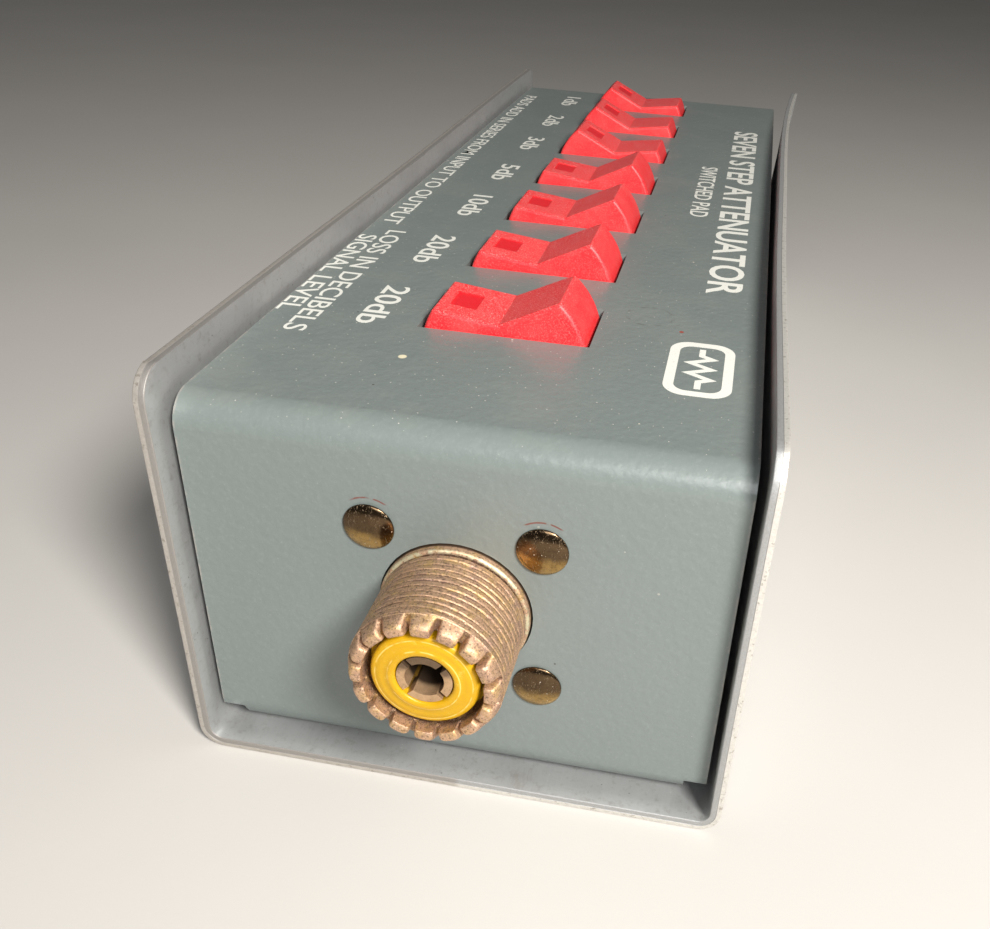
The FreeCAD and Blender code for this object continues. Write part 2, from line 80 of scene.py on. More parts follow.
# Sockets, axial lengths measured outward from the end panel
COLLAR_RADIUS = 8.2
COLLAR_END = 1.0
THREAD_RADIUS = 7.94
THREAD_PITCH = 0.86
THREAD_DEPTH = 0.20
THREAD_START = 1.45
THREAD_END = 10.72
TOOTH_RADIUS = 7.84
TOOTH_TAPER = 0.47            # from the teeth's roots to their tips
TOOTH_EDGE = 0.22             # rounding of a tooth's outer tip edge
TOOTH_COUNT = 16
TOOTH_DEPTH = 1.35
BORE_RADIUS = 6.2
INSULATOR_RADIUS = 5.55
INSULATOR_FACE = TIP - 0.8
INSULATOR_HOLE = 2.95
RIVET_RADIUS = 2.75
RIVET_HEIGHT = 0.85
RIVET_HALF_PITCH = 18.26 / 2
RIVET_SHANK = 1.55
RIVET_TAIL = 2.3
SHELL_BACK = -1.2             # the barrel starts this far behind the panel's outer face
COLLAR_ROUND = 0.32
THREAD_RELIEF = 0.42          # depth of the groove between the collar and the thread

# Cover screws
SCREW_HEAD = 2.65
SCREW_INSET = 2.6             # from the screws' common box to each one's axis
SCREW_SHANK = 1.1

# Rockers, measured from the pivot with the moulding level
ROCKER_TILT = 9.5             # degrees to either side of level
MARK_X = -4.8
MARK_HALF_X = 1.65
MARK_HALF_Y = 2.25
VALLEY_Z = 4.25               # height of the top faces where they meet in the middle
TOP_SLOPE = 0.2985

SHARP_EDGE = 50               # degrees; sharper folds than this are rounded


# ---- Node materials -------------------------------------------------------------------

# A Mix node's colour sockets share their names with its number sockets, so they go by place.
MIX_FACTOR, MIX_FIRST, MIX_SECOND, MIX_RESULT = 0, 6, 7, 2


class Shader:
    """A small helper that writes one procedural material. Coordinates are in millimetres."""

    def __init__(self, name, roughness=0.5, metallic=0.0, specular=0.5):
        self.material = bpy.data.materials.new(name)
        self.material.use_nodes = True
        self.tree = self.material.node_tree
        self.tree.nodes.clear()
        self.surface = self.tree.nodes.new("ShaderNodeBsdfPrincipled")
        output = self.tree.nodes.new("ShaderNodeOutputMaterial")
        self.tree.links.new(self.surface.outputs[0], output.inputs["Surface"])
        self.surface.inputs["Roughness"].default_value = roughness
        self.surface.inputs["Metallic"].default_value = metallic
        self.surface.inputs["Specular IOR Level"].default_value = specular
        where = self.tree.nodes.new("ShaderNodeTexCoord")
        scale = self.tree.nodes.new("ShaderNodeVectorMath")
        scale.operation = "SCALE"
        scale.inputs["Scale"].default_value = 1 / MM
        self.tree.links.new(where.outputs["Object"], scale.inputs[0])
        self.place = scale.outputs[0]
        self.own_normal = where.outputs["Normal"]
        self.normal = None

    def put(self, socket, value):
        if isinstance(value, bpy.types.NodeSocket):
            self.tree.links.new(value, socket)
        elif isinstance(value, (tuple, list)) and len(value) == 3 and socket.type == "RGBA":
            socket.default_value = (*value, 1)
        else:
            socket.default_value = value

    def set(self, **values):
        for name, value in values.items():
            self.put(self.surface.inputs[name.replace("_", " ")], value)
        return self

    def math(self, operation, a, b=0.0, clamp=False):
        node = self.tree.nodes.new("ShaderNodeMath")
        node.operation = operation
        node.use_clamp = clamp
        self.put(node.inputs[0], a)
        self.put(node.inputs[1], b)
        return node.outputs[0]

    def axis(self, letter, place=None):
        node = self.tree.nodes.new("ShaderNodeSeparateXYZ")
        self.put(node.inputs[0], place or self.place)
        return node.outputs[letter]

    def stretched(self, x, y, z, shift=(0, 0, 0)):
        """The coordinates, each axis divided by a length in millimetres."""
        node = self.tree.nodes.new("ShaderNodeMapping")
        node.vector_type = "POINT"
        node.inputs["Scale"].default_value = (1 / x, 1 / y, 1 / z)
        node.inputs["Location"].default_value = shift
        self.put(node.inputs["Vector"], self.place)
        return node.outputs[0]

    def noise(self, size, detail=2.0, roughness=0.5, place=None, distortion=0.0):
        """Soft noise about 0.5, with blobs of about this size."""
        node = self.tree.nodes.new("ShaderNodeTexNoise")
        self.put(node.inputs["Vector"], place or self.place)
        node.inputs["Scale"].default_value = 1 / size
        node.inputs["Detail"].default_value = detail
        node.inputs["Roughness"].default_value = roughness
        node.inputs["Distortion"].default_value = distortion
        return node.outputs[0]

    def specks(self, spacing, radius, place=None, share=1.0):
        """1 inside small round specks, one in each cell of this spacing, else 0."""
        node = self.tree.nodes.new("ShaderNodeTexVoronoi")
        self.put(node.inputs["Vector"], place or self.place)
        node.inputs["Scale"].default_value = 1 / spacing
        near = self.math("LESS_THAN", node.outputs["Distance"], radius / spacing)
        if share >= 1:
            return near
        red = self.tree.nodes.new("ShaderNodeSeparateColor")
        self.put(red.inputs[0], node.outputs["Color"])
        kept = self.math("LESS_THAN", red.outputs[0], share)
        return self.math("MULTIPLY", near, kept)

    def step(self, value, low, high):
        """0 below low, 1 above high, smooth between."""
        node = self.tree.nodes.new("ShaderNodeMapRange")
        node.interpolation_type = "SMOOTHSTEP"
        self.put(node.inputs["Value"], value)
        node.inputs["From Min"].default_value = low
        node.inputs["From Max"].default_value = high
        return node.outputs[0]

    def spread(self, value, low, high):
        """Stretch 0..1 to low..high."""
        node = self.tree.nodes.new("ShaderNodeMapRange")
        self.put(node.inputs["Value"], value)
        node.inputs["To Min"].default_value = low
        node.inputs["To Max"].default_value = high
        return node.outputs[0]

    def mix(self, factor, a, b):
        node = self.tree.nodes.new("ShaderNodeMix")
        node.data_type = "RGBA"
        self.put(node.inputs[MIX_FACTOR], factor)
        self.put(node.inputs[MIX_FIRST], a)
        self.put(node.inputs[MIX_SECOND], b)
        return node.outputs[MIX_RESULT]

    def spot(self, x, y, z, radius, softness=0.3):
        """1 within a radius of a point, else 0."""
        inner = radius * (1 - softness)
        return self.inverse(self.step(self.distance(x, y, z), inner, radius))

    def bump(self, height, depth):
        """Raise the surface by height times a depth in millimetres."""
        node = self.tree.nodes.new("ShaderNodeBump")
        node.inputs["Strength"].default_value = 1.0
        node.inputs["Distance"].default_value = depth * MM
        self.put(node.inputs["Height"], height)
        if self.normal is not None:
            self.put(node.inputs["Normal"], self.normal)
        self.normal = node.outputs[0]
        self.put(self.surface.inputs["Normal"], self.normal)
        return self

    def distance(self, x, y, z):
        """Distance from a point."""
        node = self.tree.nodes.new("ShaderNodeVectorMath")
        node.operation = "DISTANCE"
        self.put(node.inputs[0], self.place)
        node.inputs[1].default_value = (x, y, z)
        return node.outputs["Value"]

    def ring(self, x, y, z, radius, width):
        """1 on a thin circle about a point, else 0."""
        off = self.math("ABSOLUTE", self.math("SUBTRACT", self.distance(x, y, z), radius))
        return self.inverse(self.step(off, width / 4, width / 2))

    def inverse(self, mask):
        return self.math("SUBTRACT", 1.0, mask)

    def reach(self):
        """Distance outward from the end panels, along Y."""
        return self.math("SUBTRACT", self.math("ABSOLUTE", self.axis("Y")), PANEL_Y)

    def above_socket(self):
        """Height above the sockets' axis."""
        return self.math("SUBTRACT", self.axis("Z"), SOCKET_Z)

    def socket_radius(self):
        """Distance from the sockets' axis."""
        across = self.math("POWER", self.axis("X"), 2.0)
        up = self.math("POWER", self.above_socket(), 2.0)
        return self.math("SQRT", self.math("ADD", across, up))

    def both(self, *masks):
        """The product of several masks."""
        product = masks[0]
        for mask in masks[1:]:
            product = self.math("MULTIPLY", product, mask)
        return product

    def paint(self, colour, mask, strength, over):
        """Lay one colour over another where a mask says so."""
        return self.mix(self.math("MULTIPLY", mask, strength), colour, over)

    def facing_up(self):
        """1 on faces that look up in the piece's own frame, where dust settles."""
        return self.step(self.axis("Z", self.own_normal), 0.55, 0.93)


def enamel():
    """Blue-grey satin enamel over a reddish primer, with orange peel, dust and a few chips."""
    s = Shader("chassis_enamel", specular=0.5)
    colour = s.mix(s.noise(30, 3, 0.55), (0.150, 0.176, 0.168), (0.172, 0.198, 0.190))
    colour = s.paint(colour, s.step(s.noise(0.5, 3, 0.7), 0.5, 0.7), 0.35, (0.20, 0.228, 0.218))
    on_top = s.step(s.axis("Z"), TOP_Z - 1.2, TOP_Z - 0.1)
    # Dust lies on the top panel: a thin veil and fine pale grains.
    veil = s.both(s.step(s.noise(7, 4, 0.6), 0.4, 0.72), on_top)
    colour = s.paint(colour, veil, 0.16, (0.27, 0.265, 0.24))
    grains = s.both(s.specks(0.8, 0.075, share=0.5), s.spread(on_top, 0.10, 1.0))
    colour = s.paint(colour, grains, 0.8, (0.55, 0.53, 0.48))
    sparse = s.both(s.specks(4.2, 0.15, share=0.5), s.spread(on_top, 0.35, 1.0))
    colour = s.paint(colour, sparse, 0.85, (0.60, 0.57, 0.48))
    dark = s.specks(4.6, 0.13, place=s.stretched(1, 1, 1, (3.3, 1.7, 5.1)), share=0.55)
    colour = s.paint(colour, dark, 0.75, (0.045, 0.035, 0.03))
    rusty = s.specks(9.0, 0.16, place=s.stretched(1, 1, 1, (7.1, 2.7, 0.4)), share=0.5)
    colour = s.paint(colour, rusty, 0.7, (0.26, 0.07, 0.035))
    # Marks of use: a chip, a round stain and rust-red flecks; also a dark red-brown arc above two rivets.
    colour = s.paint(colour, s.spot(-10.3, -70.6, TOP_Z, 0.55), 1.0, (0.70, 0.64, 0.45))
    colour = s.paint(colour, s.spot(19.2, -54.7, TOP_Z, 0.33), 1.0, (0.28, 0.06, 0.04))
    colour = s.paint(colour, s.spot(-27.8, -85.6, 44.0, 0.4), 1.0, (0.22, 0.05, 0.04))
    stain = s.both(s.ring(15, -51, TOP_Z, 2.9, 0.5), s.step(s.noise(1.1, 3), 0.42, 0.6))
    colour = s.paint(colour, stain, 0.4, (0.09, 0.09, 0.075))
    for x in (-RIVET_HALF_PITCH, RIVET_HALF_PITCH):
        z = SOCKET_Z + RIVET_HALF_PITCH
        arc = s.ring(x, -PANEL_Y, z, 3.45, 0.24)
        arc = s.both(arc, s.step(s.axis("Z"), z + 2.8, z + 3.0), s.step(s.noise(0.9, 3), 0.34, 0.48))
        colour = s.paint(colour, arc, 0.85, (0.15, 0.035, 0.025))
    # Along the sheet's long edges the enamel is worn through to primer and metal.
    edge = s.step(s.math("ABSOLUTE", s.axis("X")), CHASSIS_HIGH.x - 0.30, CHASSIS_HIGH.x - 0.12)
    edge = s.both(edge, s.step(s.noise(1.6, 4, 0.7), 0.40, 0.6))
    colour = s.paint(colour, edge, 0.6, (0.30, 0.27, 0.24))
    s.set(Base_Color=colour)
    rough = s.spread(s.noise(2.4, 4, 0.6), 0.27, 0.42)
    s.set(Roughness=s.math("ADD", rough, s.math("MULTIPLY", grains, 0.3), clamp=True))
    s.bump(s.noise(0.95, 2, 0.45), 0.062)
    s.bump(s.noise(0.30, 3, 0.6), 0.010)
    s.bump(grains, 0.03)
    s.bump(sparse, 0.05)
    return s.material


def cover_sheet_metal():
    """Bare mill-finish aluminium, dulled and grimy, with fine rolling lines along Y."""
    s = Shader("cover_mill_finish", metallic=0.68)
    lines = s.noise(1, 3, 0.7, place=s.stretched(0.16, 34, 0.16))
    colour = s.mix(s.noise(9, 5, 0.62), (0.38, 0.385, 0.385), (0.54, 0.55, 0.55))
    colour = s.mix(s.step(s.noise(0.8, 4, 0.7), 0.5, 0.75), colour, (0.36, 0.35, 0.335))
    colour = s.mix(s.spread(lines, 0.0, 0.35), colour, (0.62, 0.63, 0.62))
    stain = s.step(s.noise(4.5, 5, 0.7, place=s.stretched(1, 3, 1, (2, 5, 1))), 0.60, 0.76)
    colour = s.paint(colour, stain, 0.5, (0.24, 0.21, 0.18))
    pits = s.specks(1.7, 0.10, share=0.4)
    colour = s.paint(colour, pits, 0.6, (0.10, 0.085, 0.075))
    pale = s.specks(1.3, 0.10, place=s.stretched(1, 1, 1, (2.2, 6.1, 3.4)), share=0.2)
    colour = s.paint(colour, pale, 0.3, (0.74, 0.71, 0.66))
    s.set(Base_Color=colour)
    rough = s.spread(s.noise(3.0, 4, 0.65), 0.40, 0.60)
    s.set(Roughness=s.math("ADD", rough, s.math("MULTIPLY", stain, 0.15), clamp=True))
    s.bump(lines, 0.006)
    s.bump(s.noise(0.45, 3, 0.6), 0.010)
    return s.material


def cover_burnish():
    """The burnished half of a sheared edge: pale, granular, with dark pits."""
    s = Shader("cover_cut_bright", metallic=0.45)
    streak = s.noise(1, 3, 0.7, place=s.stretched(0.5, 0.14, 0.5))
    colour = s.mix(streak, (0.42, 0.40, 0.37), (0.78, 0.76, 0.70))
    # The edges are darker and browner, mottled, on the left (-X) side than on the right.
    right = s.step(s.axis("X"), 0.0, 1.0)
    dark_mottle = s.both(s.spread(right, 0.75, 0.0), s.spread(s.noise(1.2, 4, 0.7), 0.5, 1.0))
    colour = s.mix(dark_mottle, colour, (0.33, 0.29, 0.25))
    dirt = s.step(s.noise(0.55, 4, 0.72), 0.56, 0.66)
    colour = s.paint(colour, dirt, 0.6, (0.20, 0.17, 0.13))
    s.set(Base_Color=colour, Roughness=s.spread(streak, 0.30, 0.5))
    s.bump(s.noise(0.2, 3, 0.7), 0.03)
    s.bump(streak, 0.02)
    return s.material


def cover_fracture():
    """The torn half of a sheared edge, darker and rough."""
    s = Shader("cover_cut_torn", metallic=0.5)
    grain = s.noise(0.18, 4, 0.7)
    colour = s.mix(grain, (0.24, 0.24, 0.235), (0.48, 0.485, 0.48))
    # Darker and browner on the left (-X) side than on the right.
    right = s.step(s.axis("X"), 0.0, 1.0)
    colour = s.mix(s.spread(right, 0.55, 0.0), colour, (0.25, 0.22, 0.19))
    s.set(Base_Color=colour, Roughness=s.spread(grain, 0.42, 0.66))
    s.bump(grain, 0.04)
    return s.material


def red_plastic(name, low, high, dust):
    """Bright red moulding, satin, with skin dust on its upper faces and fine scratches."""
    s = Shader(name, specular=0.45)
    colour = s.mix(s.noise(5, 2, 0.5), low, high)
    up = s.facing_up()
    veil = s.step(s.noise(3.4, 3, 0.55), 0.36, 0.72)
    colour = s.paint(colour, veil, 0.06 * dust, (0.80, 0.40, 0.36))
    fine = s.both(s.step(s.noise(0.17, 3, 0.8), 0.50, 0.62), s.spread(up, 0.3, 1.0))
    colour = s.paint(colour, fine, 0.55 * dust, (0.90, 0.46, 0.42))
    crumbs = s.both(s.specks(0.7, 0.07, share=0.5), up)
    colour = s.paint(colour, crumbs, 0.75 * dust, (0.92, 0.74, 0.66))
    scratch = s.noise(1, 2, 0.6, place=s.stretched(0.09, 0.9, 0.9), distortion=1.2)
    line = s.step(scratch, 0.67, 0.74)
    colour = s.paint(colour, line, 0.22 * dust, (0.86, 0.34, 0.30))
    s.set(Base_Color=colour, Roughness=s.spread(s.noise(1.3, 4, 0.6), 0.32, 0.50))
    s.set(Subsurface_Weight=0.06, Subsurface_Radius=(0.0012, 0.0003, 0.0003))
    s.surface.inputs["Subsurface Scale"].default_value = 0.6
    s.bump(s.noise(0.28, 3, 0.6), 0.010)
    s.bump(fine, 0.012)
    return s.material


def tarnished_bronze():
    """Worn nickel plate gone bronze: pinkish crests, brown roots, yellow and violet patches."""
    s = Shader("socket_tarnish", metallic=0.8)
    radius = s.socket_radius()
    reach = s.reach()
    crest = s.step(radius, THREAD_RADIUS - 0.17, THREAD_RADIUS - 0.06)
    crest = s.math("MAXIMUM", crest, s.step(reach, THREAD_END - 0.2, THREAD_END + 0.6))
    colour = s.mix(crest, (0.15, 0.08, 0.045), (0.62, 0.395, 0.25))
    gold = s.step(s.noise(1.4, 4, 0.65), 0.47, 0.66)
    colour = s.paint(colour, gold, 0.6, (0.60, 0.40, 0.14))
    violet = s.step(s.noise(1.9, 4, 0.65, place=s.stretched(1, 1, 1, (4, 9, 2))), 0.50, 0.70)
    colour = s.paint(colour, violet, 0.55, (0.33, 0.20, 0.18))
    pale = s.step(s.noise(0.17, 3, 0.8), 0.52, 0.62)
    colour = s.paint(colour, pale, 0.55, (0.87, 0.65, 0.46))
    dark_mottle = s.step(s.noise(0.26, 5, 0.75, place=s.stretched(1, 1, 1, (1, 5, 3))), 0.51, 0.62)
    colour = s.paint(colour, dark_mottle, 0.7, (0.09, 0.05, 0.035))
    # The collar: a pale cream band, broken up, round its outer corner, and dirt where it meets the panel.
    scuff = s.both(s.step(reach, 0.62, 0.80), s.step(radius, 7.75, 7.9))
    scuff = s.both(scuff, s.step(s.noise(1.1, 4, 0.7), 0.44, 0.56))
    scuff = s.both(scuff, s.inverse(s.step(reach, COLLAR_END + 0.02, COLLAR_END + 0.2)))
    colour = s.paint(colour, scuff, 0.8, (0.74, 0.70, 0.48))
    dirt = s.inverse(s.step(reach, 0.05, 0.24))
    colour = s.paint(colour, dirt, 0.8, (0.05, 0.03, 0.02))
    s.set(Base_Color=colour, Roughness=s.spread(s.noise(0.35, 4, 0.75), 0.38, 0.68))
    s.bump(s.noise(0.16, 4, 0.8), 0.045)
    s.bump(s.noise(0.8, 3, 0.6), 0.03)
    return s.material


def rivet_plate():
    """Polished domed head, tarnished brown, round scuffs and dust; its upper part a painted dark reflection."""
    s = Shader("rivet_tarnish_and_painted_reflection", metallic=1.0)
    colour = s.mix(s.noise(1.4, 4, 0.6), (0.30, 0.185, 0.06), (0.46, 0.30, 0.11))
    # Painted reflection: each head's upper part is darkened, its lower part left amber-brown.
    height = s.above_socket()
    row = s.math("MULTIPLY", s.math("SIGN", height), RIVET_HALF_PITCH)
    height = s.math("SUBTRACT", height, row)
    height = s.math("ADD", height, s.spread(s.noise(1.6, 3, 0.6), -0.9, 0.9))
    upper = s.step(height, -1.3, 0.1)
    colour = s.paint(colour, upper, 0.86, (0.075, 0.050, 0.036))
    film = s.step(s.noise(0.5, 5, 0.75), 0.48, 0.66)
    colour = s.paint(colour, film, 0.45, (0.05, 0.032, 0.022))
    scuff = s.step(s.noise(1, 3, 0.6, place=s.stretched(0.22, 0.22, 0.9), distortion=2.2), 0.60, 0.68)
    colour = s.paint(colour, scuff, 0.45, (0.55, 0.43, 0.30))
    crumbs = s.specks(0.6, 0.06, share=0.45)
    colour = s.paint(colour, crumbs, 0.8, (0.85, 0.78, 0.66))
    s.set(Base_Color=colour)
    rough = s.spread(s.noise(0.8, 4, 0.65), 0.12, 0.26)
    marks = s.math("MAXIMUM", scuff, crumbs)
    s.set(Roughness=s.math("ADD", rough, s.math("MULTIPLY", marks, 0.35), clamp=True))
    s.bump(s.noise(1.2, 3, 0.5), 0.03)
    s.bump(marks, 0.010)
    return s.material


def amber_resin():
    """Amber-yellow moulded insulator with turned rings, small dark flecks and painted shade in its bore."""
    s = Shader("socket_amber_and_painted_shade", roughness=0.34, specular=0.3)
    cloud = s.noise(2.6, 4, 0.6)
    colour = s.mix(cloud, (0.46, 0.255, 0.004), (0.58, 0.330, 0.008))
    flecks = s.specks(1.5, 0.055, share=0.35)
    colour = s.mix(s.math("MULTIPLY", flecks, 0.7), colour, (0.20, 0.09, 0.01))
    pale = s.step(s.noise(0.8, 5, 0.7), 0.56, 0.74)
    colour = s.mix(s.math("MULTIPLY", pale, 0.25), colour, (0.86, 0.68, 0.20))
    for radius in (3.7, 4.95):
        turned = s.ring(0, -PANEL_Y - INSULATOR_FACE, SOCKET_Z, radius, 0.16)
        turned = s.both(turned, s.step(s.noise(1.5, 3), 0.36, 0.5))
        colour = s.paint(colour, turned, 0.35, (0.92, 0.74, 0.30))
    # Deep in its bore the resin is darkened as painted shade, which also shows through the contact's slits.
    deep = s.inverse(s.step(s.reach(), INSULATOR_FACE - 1.4, INSULATOR_FACE - 0.6))
    bore = s.inverse(s.step(s.socket_radius(), INSULATOR_HOLE + 0.2, INSULATOR_HOLE + 0.5))
    colour = s.paint(colour, s.both(deep, bore), 0.93, (0.05, 0.025, 0.006))
    s.set(Base_Color=colour, Roughness=s.spread(s.noise(0.6, 3, 0.6), 0.26, 0.44))
    s.set(Subsurface_Weight=0.12, Subsurface_Radius=(0.0016, 0.0008, 0.0002))
    s.bump(s.noise(0.35, 3, 0.6), 0.012)
    return s.material


def legend_ink():
    """Screen-printed off-white ink, slightly broken up."""
    s = Shader("legend_ink", roughness=0.5)
    wear = s.step(s.noise(0.35, 4, 0.7), 0.56, 0.72)
    colour = s.mix(wear, (0.72, 0.72, 0.66), (0.52, 0.53, 0.49))
    grains = s.specks(1.1, 0.08, share=0.3)
    colour = s.mix(grains, colour, (0.32, 0.32, 0.29))
    s.set(Base_Color=colour, Roughness=s.spread(wear, 0.42, 0.62))
    s.bump(s.noise(0.3, 2, 0.5), 0.006)
    return s.material


def plain_metal(name, dark, light, rough_low, rough_high, grain, metallic=1.0):
    s = Shader(name, metallic=metallic)
    cloud = s.noise(grain * 4, 4, 0.6)
    colour = s.mix(cloud, dark, light)
    spots = s.step(s.noise(grain * 1.5, 4, 0.7), 0.6, 0.75)
    colour = s.mix(s.math("MULTIPLY", spots, 0.4), colour, tuple(0.5 * c for c in dark))
    s.set(Base_Color=colour, Roughness=s.spread(s.noise(grain, 3, 0.6), rough_low, rough_high))
    s.bump(s.noise(grain, 3, 0.6), 0.012)
    return s.material


def plain_plastic(name, dark, light, rough_low, rough_high, grain):
    return plain_metal(name, dark, light, rough_low, rough_high, grain, metallic=0.0)


def contact_bronze_and_painted_shade():
    """Scuffed bronze at the contact's mouth, with painted shade over its upper part and deep in its bore."""
    s = Shader("contact_bronze_and_painted_shade", metallic=0.7)
    colour = s.mix(s.noise(0.9, 4, 0.6), (0.38, 0.23, 0.12), (0.72, 0.49, 0.29))
    spots = s.step(s.noise(0.3, 4, 0.75), 0.55, 0.68)
    colour = s.paint(colour, spots, 0.5, (0.22, 0.12, 0.07))
    # Painted shade: darker above the socket's axis, and near black deep in the bore.
    height = s.math("ADD", s.above_socket(), s.spread(s.noise(0.8, 3, 0.6), -0.6, 0.6))
    colour = s.paint(colour, s.step(height, 0.3, 1.3), 0.8, (0.07, 0.045, 0.03))
    deep = s.inverse(s.step(s.reach(), TIP - 2.9, TIP - 2.0))
    colour = s.paint(colour, deep, 0.95, (0.030, 0.019, 0.013))
    s.set(Base_Color=colour, Roughness=s.spread(s.noise(0.22, 3, 0.6), 0.34, 0.58))
    s.bump(s.noise(0.2, 3, 0.7), 0.02)
    return s.material


def carbon_resistor():
    """Brown moulding of the resistors."""
    s = Shader("resistor_brown", specular=0.4)
    cloud = s.noise(1.2, 3, 0.6)
    colour = s.mix(cloud, (0.13, 0.055, 0.025), (0.19, 0.085, 0.04))
    s.set(Base_Color=colour, Roughness=s.spread(s.noise(0.4, 3, 0.6), 0.35, 0.6))
    s.bump(s.noise(0.25, 3, 0.6), 0.015)
    return s.material


MATERIALS = {
    "chassis_paint": enamel(),
    "cover_metal": cover_sheet_metal(),
    "screw_steel": plain_metal("screw_zinc", (0.42, 0.42, 0.43), (0.62, 0.62, 0.63), 0.28, 0.45, 0.4),
    "tinned_steel": plain_metal("tin_plate", (0.50, 0.50, 0.48), (0.68, 0.68, 0.66), 0.30, 0.5, 0.9),
    "housing_plastic": plain_plastic("phenolic_black", (0.012, 0.010, 0.009), (0.030, 0.026, 0.022),
                                     0.35, 0.6, 0.5),
    "slider_plastic": plain_plastic("nylon_natural", (0.46, 0.42, 0.33), (0.58, 0.54, 0.44),
                                    0.4, 0.6, 0.5),
    "rocker_plastic": red_plastic("rocker_red", (0.76, 0.018, 0.026), (0.84, 0.028, 0.034), 1.0),
    "contact_metal": plain_metal("contact_silver", (0.50, 0.45, 0.34), (0.74, 0.69, 0.56),
                                 0.25, 0.42, 0.4),
    "rivet_metal": rivet_plate(),
    "wire_metal": plain_metal("wire_tinned", (0.52, 0.48, 0.43), (0.72, 0.69, 0.64), 0.25, 0.42, 0.4),
    "resistor_body": carbon_resistor(),
    "socket_metal": tarnished_bronze(),
    "socket_insulator": amber_resin(),
    "socket_contact_metal": contact_bronze_and_painted_shade(),
}
CUT_BRIGHT = cover_burnish()
CUT_TORN = cover_fracture()
THUMB_RED = red_plastic("rocker_red_mark", (0.62, 0.009, 0.017), (0.68, 0.013, 0.021), 0.1)
INK = legend_ink()


# ---- Mesh building --------------------------------------------------------------------


class Solid:
    """Vertices in millimetres and faces of one piece."""

    def __init__(self):
        self.points = []
        self.faces = []
        self.looks = []

    def strip(self, rows, look=0, closed=False, flip=False):
        """Quads between rows of points. Rows are lists of vectors of equal length."""
        base = len(self.points)
        width = len(rows[0])
        for row in rows:
            self.points.extend(row)
        for i in range(len(rows) - 1):
            for j in range(width if closed else width - 1):
                k = (j + 1) % width
                a, b = base + i * width + j, base + i * width + k
                quad = (a, b, b + width, a + width)
                self.faces.append(tuple(reversed(quad)) if flip else quad)
                self.looks.append(look)

    def lathe(self, profile, centre, outward, turns=72, look=0):
        """Turn (axial, radius) points about an axis along Y through a centre."""
        rows = []
        for axial, radius in profile:
            ring = []
            for j in range(turns):
                angle = TAU * j / turns
                ring.append(centre + Vector((radius * math.cos(angle), outward * axial,
                                             radius * math.sin(angle))))
            rows.append(ring)
        self.strip(rows, look=look, closed=True, flip=outward < 0)

    def piece(self, name, materials, body, slot, replaces=(), sharp=35):
        mesh = bpy.data.meshes.new(name)
        mesh.from_pydata([p * MM for p in self.points], [], self.faces)
        for material in materials:
            mesh.materials.append(material)
        for polygon, look in zip(mesh.polygons, self.looks):
            polygon.material_index = look
        bm = bmesh.new()
        bm.from_mesh(mesh)
        bmesh.ops.remove_doubles(bm, verts=bm.verts, dist=1e-6)
        bmesh.ops.recalc_face_normals(bm, faces=bm.faces)
        bm.to_mesh(mesh)
        bm.free()
        return finish_piece(name, mesh, body, replaces, sharp)


def finish_piece(name, mesh, body, replaces=(), sharp=35, weighted=False):
    mesh.shade_smooth()
    mesh.set_sharp_from_angle(angle=math.radians(sharp))
    piece = bpy.data.objects.new(name, mesh)
    bpy.context.scene.collection.objects.link(piece)
    if weighted:
        modifier = piece.modifiers.new("flat_faces", "WEIGHTED_NORMAL")
        modifier.keep_sharp = True
    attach(piece, body)
    if replaces:
        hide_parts(*replaces)
    return piece


def cad_copy(node):
    """A CAD node's mesh, welded and with its flat faces made whole."""
    bm = bmesh.new()
    bm.from_mesh(frame["nodes"][node].data)
    bmesh.ops.remove_doubles(bm, verts=bm.verts, dist=1e-6)
    bmesh.ops.dissolve_limit(bm, angle_limit=math.radians(0.3), verts=bm.verts, edges=bm.edges)
    return bm


def soften(bm, width, steps):
    """Round the sharp edges by a width in millimetres."""
    edges = [edge for edge in bm.edges if len(edge.link_faces) == 2
             and edge.calc_face_angle() >= math.radians(SHARP_EDGE)]
    bmesh.ops.bevel(bm, geom=edges, offset=width * MM, offset_type="OFFSET", segments=steps,
                    profile=0.5, affect="EDGES", clamp_overlap=True)


def to_mesh(bm, name, materials):
    mesh = bpy.data.meshes.new(name)
    bm.to_mesh(mesh)
    bm.free()
    for attribute in ("custom_normal", "sharp_face", "sharp_edge"):
        if attribute in mesh.attributes:
            mesh.attributes.remove(mesh.attributes[attribute])
    for material in materials:
        mesh.materials.append(material)
    return mesh


# ---- Cover ----------------------------------------------------------------------------


def cover_profile():
    """Mid-surface of the sheet from the left wall's top to the right wall's top.
    Each entry is x, z, outward normal x, outward normal z, depth below a wall's top, side."""
    half = COVER_HIGH.x
    top = COVER_HIGH.z
    middle = half - SHEET / 2
    bend = COVER_BEND - SHEET / 2
    left = []
    for k in range(10):
        left.append(LEFT_ROUND * (1 - math.cos(TAU / 4 * k / 10)))
    wall = top - COVER_BEND - LEFT_ROUND
    left += [LEFT_ROUND + wall * k / 20 for k in range(21)]
    right = [RIGHT_CLIP * k / 6 for k in range(6)]
    wall = top - COVER_BEND - RIGHT_CLIP
    right += [RIGHT_CLIP + wall * k / 20 for k in range(21)]
    path = [(-middle, top - depth, -1, 0, depth, -1) for depth in left]
    for k in range(1, 8):
        turn = math.pi + TAU / 4 * k / 8
        c, s = math.cos(turn), math.sin(turn)
        path.append((-half + COVER_BEND + bend * c, COVER_BEND + bend * s, c, s, 99, -1))
    floor = 2 * (half - COVER_BEND)
    for k in range(29):
        path.append((-half + COVER_BEND + floor * k / 28, SHEET / 2, 0, -1, 99, 0))
    for k in range(1, 8):
        turn = 3 * math.pi / 2 + TAU / 4 * k / 8
        c, s = math.cos(turn), math.sin(turn)
        path.append((half - COVER_BEND + bend * c, COVER_BEND + bend * s, c, s, 99, 1))
    path += [(middle, top - depth, 1, 0, depth, 1) for depth in reversed(right)]
    return path


